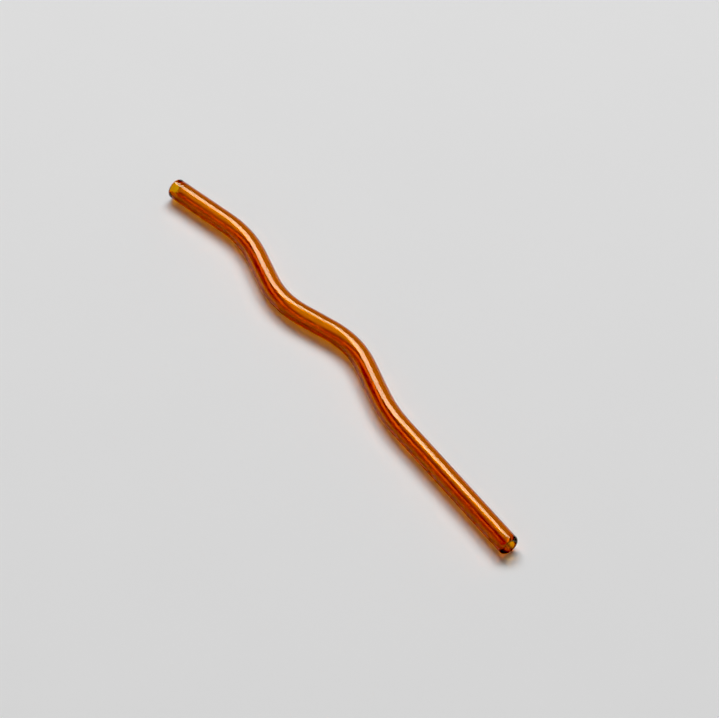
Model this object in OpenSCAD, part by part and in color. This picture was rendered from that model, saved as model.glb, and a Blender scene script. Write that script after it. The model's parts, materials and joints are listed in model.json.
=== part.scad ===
// Wavy glass drinking straw: one length of tube, open and fire-polished at both ends.
// It lies flat on its side: the wave is in the XY plane and the underside is at z = 0.
// +X runs along the straight stem, towards its open end; the wavy mouth end is at -X.
// The origin is the centre of the bounding box's bottom face.

/* [Tube] */
// Outside diameter of the glass tube
tube_od = 8; // [6:0.5:12]
// Thickness of the glass wall
wall = 1.5; // [1.2:0.1:2]

/* [Lips, the same at both ends] */
// Rounding of each end's outer edge. The bore's edge is rounded to meet it
lip_round = 1.2; // [0.6:0.1:1.4]
// Diameter of the bore at each lip, where the flame has drawn the glass in
throat_od = 4; // [3.4:0.1:4.8]
// Length over which the bore stays at that diameter
throat_len = 1; // [0.5:0.1:2]
// Length over which it widens again to the tube's own bore
flare_len = 3; // [1:0.5:6]

/* [Wave, from the mouth end to the stem] */
// Length of the straight mouthpiece
mouth_len = 27.5; // [15:0.5:40]
// Lengths of the three straight runs between the bends
run_lens = [14, 13.5, 15]; // [8:0.5:20]
// How far each bend turns, in degrees: right, left, right, left
bend_angles = [27, 33, 34, 15]; // [5:1:45]
// Radius of each bend, at the middle of the tube
bend_radii = [44, 36, 36, 70]; // [20:1:90]
// Length of the straight stem
stem_len = 65.5; // [40:0.5:120]

/* [Hidden] */
$fn = 96;
tube_r = tube_od / 2;
bore_r = tube_r - wall;
throat_r = throat_od / 2;
throat_round = tube_r - throat_r - lip_round;
lip_len = throat_round + throat_len + flare_len;
glass = [0.8, 0.36, 0.06, 0.6];

BENDS = len(bend_angles);
straights = concat([mouth_len], run_lens, [stem_len]);
sides = [for (i = [0 : BENDS - 1]) i % 2 == 0 ? -1 : 1];     // -1 turns right, 1 turns left
turns = [for (i = [0 : BENDS - 1]) sides[i] * bend_angles[i]];

function sum(list, n) = n == 0 ? 0 : list[n - 1] + sum(list, n - 1);
function along(angle, distance) = distance * [cos(angle), sin(angle)];
// The way that straight i points. The last one is the stem, which points along +X.
function heading(i) = sum(turns, i) - sum(turns, BENDS);
// The centre of bend i, which starts at point p
function centre_from(i, p) = p + along(heading(i) + 90 * sides[i], bend_radii[i]);
// The point at fraction t of the way round bend i, about its centre c
function round_bend(i, c, t) =
    c + along(heading(i) + t * turns[i] - 90 * sides[i], bend_radii[i]);
// The start of straight i, with the mouth's end face centred on [0, 0]
function start(i) = i == 0 ? [0, 0] : round_bend(i - 1, centre_from(i - 1, finish(i - 1)), 1);
function finish(i) = start(i) + along(heading(i), straights[i]);

starts = [for (i = [0 : BENDS]) start(i)];
finishes = [for (i = [0 : BENDS]) finish(i)];
centres = [for (i = [0 : BENDS - 1]) centre_from(i, finishes[i])];

// How far a rounded end reaches past the centre of its face, along a line at angle off to
// the way that the face looks
function face_reach(off) = (tube_r - lip_round) * abs(sin(off)) + lip_round * (1 - cos(off));

// The bounding box, seen from above
bend_heights = [for (i = [0 : BENDS - 1], t = [0 : 0.02 : 1]) round_bend(i, centres[i], t)[1]];
x_low = -face_reach(heading(0));
x_high = finishes[BENDS][0];
y_low = min(min(bend_heights) - tube_r, -face_reach(90 - heading(0)));
y_high = max(max(bend_heights) + tube_r, face_reach(90 + heading(0)));

// What is taken off a square corner to leave it round with radius r. The corner is at the
// origin; the glass lies below it, on the side towards +X (side 1) or -X (side -1).
module corner_cut(r, side) {
    difference() {
        translate([side * r / 2, -r / 2]) square(r, center = true);
        translate([side * r, -r]) circle(r = r);
    }
}

// One open end of the tube, facing +Z, with both of its edges fire-polished round and its
// bore drawn in
module lip() {
    rotate_extrude() difference() {
        polygon([
            [throat_r, 0], [tube_r, 0], [tube_r, -lip_len],
            [bore_r, -lip_len], [throat_r, flare_len - lip_len]
        ]);
        translate([throat_r, 0]) corner_cut(throat_round, 1);
        translate([tube_r, 0]) corner_cut(lip_round, -1);
    }
}

module wall_ring() {
    difference() {
        circle(r = tube_r);
        circle(r = bore_r);
    }
}

// Straight i, from its start to its finish. Its bare length leaves out any lip.
module straight_section(i) {
    bare_from = i == 0 ? lip_len : 0;
    bare_to = straights[i] - (i == BENDS ? lip_len : 0);
    translate([starts[i][0], starts[i][1], 0]) rotate([0, 0, heading(i)]) rotate([0, 90, 0]) {
        translate([0, 0, bare_from]) linear_extrude(bare_to - bare_from) wall_ring();
        if (i == 0) mirror([0, 0, 1]) lip();
        if (i == BENDS) translate([0, 0, straights[i]]) lip();
    }
}

// Bend i, which meets straights i and i + 1 face to face
module bend_section(i) {
    first = min(heading(i), heading(i + 1)) - 90 * sides[i];
    translate([centres[i][0], centres[i][1], 0]) rotate([0, 0, first])
        rotate_extrude(angle = bend_angles[i]) translate([bend_radii[i], 0]) wall_ring();
}

module glass_tube() {
    color(glass) translate([-(x_low + x_high) / 2, -(y_low + y_high) / 2, tube_r]) {
        for (i = [0 : BENDS]) straight_section(i);
        for (i = [0 : BENDS - 1]) bend_section(i);
    }
}

glass_tube();
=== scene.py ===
"""A wavy drinking straw of clear amber glass, lying on a pale table."""
import json
import math

import bmesh
import bpy
import numpy as np
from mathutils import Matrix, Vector


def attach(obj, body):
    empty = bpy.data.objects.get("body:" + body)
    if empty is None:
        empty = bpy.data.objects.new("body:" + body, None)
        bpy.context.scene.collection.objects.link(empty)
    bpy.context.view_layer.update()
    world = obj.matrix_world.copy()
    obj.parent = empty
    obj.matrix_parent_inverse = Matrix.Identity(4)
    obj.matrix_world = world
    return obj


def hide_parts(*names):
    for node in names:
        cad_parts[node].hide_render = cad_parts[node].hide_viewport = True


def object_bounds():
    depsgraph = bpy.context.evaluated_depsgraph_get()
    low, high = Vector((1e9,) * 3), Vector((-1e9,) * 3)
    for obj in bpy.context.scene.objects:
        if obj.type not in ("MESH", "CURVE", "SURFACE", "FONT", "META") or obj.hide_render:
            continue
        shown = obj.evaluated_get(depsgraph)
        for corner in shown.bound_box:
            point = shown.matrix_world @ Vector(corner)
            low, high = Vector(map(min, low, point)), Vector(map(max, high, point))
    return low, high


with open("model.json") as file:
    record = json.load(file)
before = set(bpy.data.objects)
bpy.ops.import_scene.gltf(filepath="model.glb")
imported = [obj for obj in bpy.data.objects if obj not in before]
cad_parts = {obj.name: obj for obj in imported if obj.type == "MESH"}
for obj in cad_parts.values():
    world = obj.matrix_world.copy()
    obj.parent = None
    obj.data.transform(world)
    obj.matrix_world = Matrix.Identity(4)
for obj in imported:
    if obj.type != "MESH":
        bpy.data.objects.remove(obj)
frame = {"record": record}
cad_low, cad_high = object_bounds()

MM = 0.001

# The bent tube, in metres and degrees, as part.scad draws it, from the mouth end to the stem
MOUTH_LEN = 27.5 * MM
RUN_LENS = (14 * MM, 13.5 * MM, 15 * MM)
BEND_ANGLES = (-27, 33, -34, 15)          # minus turns right, plus turns left
BEND_RADII = (44 * MM, 36 * MM, 36 * MM, 70 * MM)
WALL = 1.5 * MM
LIP_ROUND = 1.2 * MM                      # the outer edge of each end
DRAWN_IN_LEN = 4 * MM                     # over which the bore narrows towards each lip

mounts = {mount["name"]: mount for mount in frame["record"]["mounts"]}
TUBE_R = mounts["stem_outside"]["dims"]["r_mm"] * MM
BORE_R = TUBE_R - WALL
THROAT_R = mounts["stem_bore"]["dims"]["r_mm"] * MM
THROAT_ROUND = TUBE_R - THROAT_R - LIP_ROUND
STEM_LEN = mounts["stem_outside"]["dims"]["length_mm"] * MM + LIP_ROUND
STEM_END = Vector((cad_high.x, mounts["stem_bore"]["pos_m"][1], TUBE_R))

# Mesh density
AROUND = 128              # faces round the tube
STATION_GAP = 0.8 * MM    # between rings along the tube
CURVE_STEP = 0.1 * MM     # between points along the centreline
LIP_STEPS = 10            # rings round each quarter of a lip
DRAWN_IN_STEPS = 16       # rings over the length where the bore narrows
EASE_LEN = 7 * MM         # over which the curve passes from straight to bend
PLACE_LAYER = "tube_place"  # holds each point's place along and across the tube

# The glass. Per metre, it absorbs each channel by GLASS_DENSITY times 1 minus the colour
GLASS_COLOUR = (0.94, 0.76, 0.1, 1)
GLASS_DENSITY = 2000
GLASS_IOR = 1.47
GLASS_SHINE = 0.4                         # 0.5 is the full reflection of that index
GLASS_SHINE_TINT = (1, 0.9, 0.65, 1)
GLASS_ROUGHNESS = 0.04                    # where handling has dulled the polish most
HANDLED_LEN = 12 * MM
HANDLED_DETAIL = 4                        # each DETAIL is how many finer layers a noise has
DRAW_GAP = 2 * MM                         # between the faint lines from drawing the tube
DRAW_STRETCH = 12                         # how many times longer than wide they are
DRAW_DEPTH = 0.003 * MM
DRAW_DETAIL = 2
RIPPLE_LEN = 7 * MM                       # of the waves that heating and bending leave
RIPPLE_DEPTH = 0.005 * MM
RIPPLE_DETAIL = 1

# The table. Its radius is in metres
TABLE_RADIUS = 4
TABLE_SIDES = 96
TABLE_SHADES = (0.87, 0.89)
TABLE_ROUGHNESS = (0.85, 0.95)
TABLE_SHINE = 0.2
TABLE_CLOUD_LEN = 60 * MM
TABLE_CLOUD_DETAIL = 3

# The light: a wide window of three softboxes side by side, behind the object as the picture's
# camera sees it. Azimuths are degrees to the right of straight behind; lengths are in metres
KEY_AZIMUTHS = (-23, 3.5, 30)
KEY_ELEVATION = 50.5
KEY_DISTANCE = 6.5
KEY_SIZE = (1.95, 2.15)
KEY_RADIANCE = 9.7        # of each softbox's face

# The room: dim, with a pale strip along the table's far edge for low views. The heights are
# the upward parts of a unit vector that looks into the room
ROOM_LIGHT = 0.1
STRIP_LIGHT = 0.8
STRIP_TOP = 0.05
STRIP_FADED = 0.12

# The camera: where it stands, in degrees and metres from the point that it looks at
VIEW_AZIMUTH = 54.9
VIEW_ELEVATION = 50.0
VIEW_DISTANCE = 1.37
VIEW_TARGET = Vector((2.45 * MM, 5.5 * MM, 0))
LENS_MM = 184.8
SENSOR_MM = 36
NEAREST_SEEN = 0.05

BLACK_LEVEL = 0.03        # what the picture shows as black

# How many surfaces a ray of light may meet on its way, and the samples that learn its route
LIGHT_BOUNCES = 32
GLOSS_BOUNCES = 16
GUIDING_SAMPLES = 32


# ---------- shape ----------

def centreline():
    """Points and headings along the tube's axis, evenly spaced, from the mouth to the stem."""
    straights = (MOUTH_LEN, *RUN_LENS, STEM_LEN)
    angles = [math.radians(a) for a in BEND_ANGLES]
    curvature = []
    for i, length in enumerate(straights):
        curvature += [0.0] * round(length / CURVE_STEP)
        if i < len(angles):
            count = round(abs(angles[i]) * BEND_RADII[i] / CURVE_STEP)
            curvature += [angles[i] / (count * CURVE_STEP)] * count
    window = np.hanning(round(EASE_LEN / CURVE_STEP) + 2)[1:-1]
    curvature = np.convolve(curvature, window / window.sum(), mode="same")
    turned = np.concatenate(([0.0], np.cumsum(curvature) * CURVE_STEP))
    heading = turned - turned[-1]
    middle = (heading[1:] + heading[:-1]) / 2
    x = np.concatenate(([0.0], np.cumsum(np.cos(middle)) * CURVE_STEP))
    y = np.concatenate(([0.0], np.cumsum(np.sin(middle)) * CURVE_STEP))
    at = np.arange(len(heading)) * CURVE_STEP
    x += STEM_END.x - x[-1]
    y += STEM_END.y - y[-1]
    return at, x, y, heading


def lip_profile():
    """The rings of one fire-polished end, from its outer edge to where the bore has its full
    width, each as a depth behind the end face and a radius."""
    quarter = np.linspace(0, math.pi / 2, LIP_STEPS + 1)[1:]
    crest = TUBE_R - LIP_ROUND
    lip = []
    for a in quarter:
        lip.append((LIP_ROUND * (1 - math.sin(a)), crest + LIP_ROUND * math.cos(a)))
    for a in quarter:
        lip.append((THROAT_ROUND * (1 - math.cos(a)), crest - THROAT_ROUND * math.sin(a)))
    for t in np.linspace(0, 1, DRAWN_IN_STEPS + 1)[1:]:
        widened = 0.5 - 0.5 * math.cos(math.pi * t)
        radius = THROAT_R + (BORE_R - THROAT_R) * widened
        lip.append((THROAT_ROUND + DRAWN_IN_LEN * t, radius))
    return lip


def stations(total):
    """Places along the axis and radii of the tube's rings: along the outside, round the stem's
    lip, back along the bore and round the mouth's lip."""
    lip = lip_profile()
    full_bore = THROAT_ROUND + DRAWN_IN_LEN
    count = round(total / STATION_GAP)
    outside = np.linspace(LIP_ROUND, total - LIP_ROUND, count)
    bore = np.linspace(total - full_bore, full_bore, count)[1:-1]
    rings = [(s, TUBE_R) for s in outside]
    rings += [(total - depth, radius) for depth, radius in lip]
    rings += [(s, BORE_R) for s in bore]
    rings += [(depth, radius) for depth, radius in lip[::-1]]
    return rings


def make_tube():
    at, x, y, heading = centreline()
    mesh = bpy.data.meshes.new("glass_tube_fine")
    bm = bmesh.new()
    tube_place = bm.verts.layers.float_vector.new(PLACE_LAYER)
    rings = []
    for s, radius in stations(at[-1]):
        cx, cy, h = (np.interp(s, at, v) for v in (x, y, heading))
        side = Vector((-math.sin(h), math.cos(h), 0))
        ring = []
        for k in range(AROUND):
            a = math.tau * k / AROUND
            across, up = radius * math.cos(a), radius * math.sin(a)
            vertex = bm.verts.new(Vector((cx, cy, TUBE_R + up)) + side * across)
            vertex[tube_place] = (s, across, up)
            ring.append(vertex)
        rings.append(ring)
    for i, ring in enumerate(rings):
        after = rings[(i + 1) % len(rings)]
        for k in range(AROUND):
            j = (k + 1) % AROUND
            bm.faces.new((ring[k], after[k], after[j], ring[j]))
    bmesh.ops.recalc_face_normals(bm, faces=bm.faces)
    bm.to_mesh(mesh)
    bm.free()
    mesh.shade_smooth()
    tube = bpy.data.objects.new("glass_tube_fine", mesh)
    bpy.context.scene.collection.objects.link(tube)
    return tube


# ---------- materials ----------

def new_material(name):
    material = bpy.data.materials.new(name)
    material.use_nodes = True
    nodes, links = material.node_tree.nodes, material.node_tree.links
    return material, nodes, links, nodes["Principled BSDF"]


def mapped(nodes, links, value, low, high):
    """The socket of a value from 0 to 1, spread over low to high."""
    spread = nodes.new("ShaderNodeMapRange")
    spread.inputs["To Min"].default_value = low
    spread.inputs["To Max"].default_value = high
    links.new(value, spread.inputs["Value"])
    return spread.outputs["Result"]


def noise(nodes, links, place, length, detail):
    """The socket of a soft noise, with features of about that length, at the given places."""
    texture = nodes.new("ShaderNodeTexNoise")
    texture.inputs["Scale"].default_value = 1 / length
    texture.inputs["Detail"].default_value = detail
    links.new(place, texture.inputs["Vector"])
    return texture.outputs["Fac"]


def on_tube(nodes, links, stretch):
    """The socket of places on the glass, measured along and across the tube so that what they
    carry follows its bends. It is drawn out along the tube by stretch."""
    place = nodes.new("ShaderNodeAttribute")
    place.attribute_name = PLACE_LAYER
    divide = nodes.new("ShaderNodeVectorMath")
    divide.operation = "DIVIDE"
    divide.inputs[1].default_value = (stretch, 1, 1)
    links.new(place.outputs["Vector"], divide.inputs[0])
    return divide.outputs["Vector"]


def bumps(nodes, links, layers):
    """The socket of a normal that carries each layer's height and depth."""
    normal = None
    for height, depth in layers:
        bump = nodes.new("ShaderNodeBump")
        bump.inputs["Distance"].default_value = depth
        links.new(height, bump.inputs["Height"])
        if normal:
            links.new(normal, bump.inputs["Normal"])
        normal = bump.outputs["Normal"]
    return normal


def amber_glass():
    material, nodes, links, shader = new_material("amber_glass")
    shader.inputs["Base Color"].default_value = (1, 1, 1, 1)
    shader.inputs["IOR"].default_value = GLASS_IOR
    shader.inputs["Specular IOR Level"].default_value = GLASS_SHINE
    shader.inputs["Specular Tint"].default_value = GLASS_SHINE_TINT
    shader.inputs["Transmission Weight"].default_value = 1.0

    drawn_out = on_tube(nodes, links, DRAW_STRETCH)
    draw_lines = noise(nodes, links, drawn_out, DRAW_GAP, DRAW_DETAIL)
    ripples = noise(nodes, links, on_tube(nodes, links, 1), RIPPLE_LEN, RIPPLE_DETAIL)
    layers = ((draw_lines, DRAW_DEPTH), (ripples, RIPPLE_DEPTH))
    links.new(bumps(nodes, links, layers), shader.inputs["Normal"])

    handled = noise(nodes, links, on_tube(nodes, links, 1), HANDLED_LEN, HANDLED_DETAIL)
    roughness = mapped(nodes, links, handled, 0, GLASS_ROUGHNESS)
    links.new(roughness, shader.inputs["Roughness"])

    absorb = nodes.new("ShaderNodeVolumeAbsorption")
    absorb.inputs["Color"].default_value = GLASS_COLOUR
    absorb.inputs["Density"].default_value = GLASS_DENSITY
    links.new(absorb.outputs["Volume"], nodes["Material Output"].inputs["Volume"])
    return material


def pale_table():
    material, nodes, links, shader = new_material("pale_table")
    shader.inputs["Specular IOR Level"].default_value = TABLE_SHINE
    place = nodes.new("ShaderNodeTexCoord").outputs["Object"]
    clouds = noise(nodes, links, place, TABLE_CLOUD_LEN, TABLE_CLOUD_DETAIL)
    shade = nodes.new("ShaderNodeCombineColor")
    for channel in ("Red", "Green", "Blue"):
        links.new(mapped(nodes, links, clouds, *TABLE_SHADES), shade.inputs[channel])
    links.new(shade.outputs["Color"], shader.inputs["Base Color"])
    links.new(mapped(nodes, links, clouds, *TABLE_ROUGHNESS), shader.inputs["Roughness"])
    return material


# ---------- stage ----------

def direction(azimuth, elevation):
    """From the object towards a place that the picture's camera sees at that azimuth: 0 is
    straight behind the object, and plus is to the right."""
    a = math.radians(VIEW_AZIMUTH - azimuth)
    e = math.radians(elevation)
    return Vector((-math.sin(a) * math.cos(e), math.cos(a) * math.cos(e), math.sin(e)))


def make_table():
    mesh = bpy.data.meshes.new("table")
    bm = bmesh.new()
    bmesh.ops.create_circle(bm, cap_ends=True, radius=TABLE_RADIUS, segments=TABLE_SIDES)
    bm.to_mesh(mesh)
    bm.free()
    table = bpy.data.objects.new("table", mesh)
    bpy.context.scene.collection.objects.link(table)
    mesh.materials.append(pale_table())


def softbox(name, azimuth):
    width, height = KEY_SIZE
    light = bpy.data.lights.new(name, "AREA")
    light.shape = "RECTANGLE"
    light.size = width
    light.size_y = height
    light.energy = KEY_RADIANCE * width * height * math.pi
    lamp = bpy.data.objects.new(name, light)
    bpy.context.scene.collection.objects.link(lamp)
    toward = direction(azimuth, KEY_ELEVATION)
    lamp.location = toward * KEY_DISTANCE
    lamp.rotation_mode = "QUATERNION"
    lamp.rotation_quaternion = toward.to_track_quat("Z", "Y")
    lamp.visible_camera = False


def make_room():
    world = bpy.data.worlds.new("room")
    bpy.context.scene.world = world
    world.use_nodes = True
    nodes, links = world.node_tree.nodes, world.node_tree.links
    background = nodes["Background"]
    background.inputs["Color"].default_value = (1, 1, 1, 1)
    looking = nodes.new("ShaderNodeTexCoord").outputs["Generated"]
    split = nodes.new("ShaderNodeSeparateXYZ")
    links.new(looking, split.inputs["Vector"])
    fade = nodes.new("ShaderNodeMapRange")
    fade.interpolation_type = "SMOOTHSTEP"
    fade.inputs["From Min"].default_value = STRIP_TOP
    fade.inputs["From Max"].default_value = STRIP_FADED
    fade.inputs["To Min"].default_value = STRIP_LIGHT
    fade.inputs["To Max"].default_value = ROOM_LIGHT
    links.new(split.outputs["Z"], fade.inputs["Value"])
    links.new(fade.outputs["Result"], background.inputs["Strength"])


def make_camera():
    camera = bpy.data.objects.new("camera", bpy.data.cameras.new("camera"))
    bpy.context.scene.collection.objects.link(camera)
    camera.data.lens = LENS_MM
    camera.data.sensor_width = SENSOR_MM
    back = direction(180, VIEW_ELEVATION)
    camera.location = VIEW_TARGET + back * VIEW_DISTANCE
    camera.rotation_mode = "QUATERNION"
    camera.rotation_quaternion = back.to_track_quat("Z", "Y")
    camera.data.clip_start = NEAREST_SEEN
    bpy.context.scene.camera = camera


def set_look():
    """Plain tones, and enough bounces for light to find its way through the glass."""
    scene = bpy.context.scene
    scene.view_settings.view_transform = "Standard"
    scene.view_settings.use_curve_mapping = True
    scene.view_settings.curve_mapping.black_level = (BLACK_LEVEL,) * 3
    scene.cycles.max_bounces = LIGHT_BOUNCES
    scene.cycles.transmission_bounces = LIGHT_BOUNCES
    scene.cycles.glossy_bounces = GLOSS_BOUNCES
    scene.cycles.blur_glossy = 0
    scene.cycles.sample_clamp_indirect = 0
    scene.cycles.use_guiding = True
    scene.cycles.guiding_training_samples = GUIDING_SAMPLES
    scene.cycles.use_denoising = True


tube = make_tube()
tube.data.materials.append(amber_glass())
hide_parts("glass_tube")
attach(tube, "root")

make_table()
make_room()
for i, azimuth in enumerate(KEY_AZIMUTHS):
    softbox(f"key_softbox_{i}", azimuth)
make_camera()
set_look()
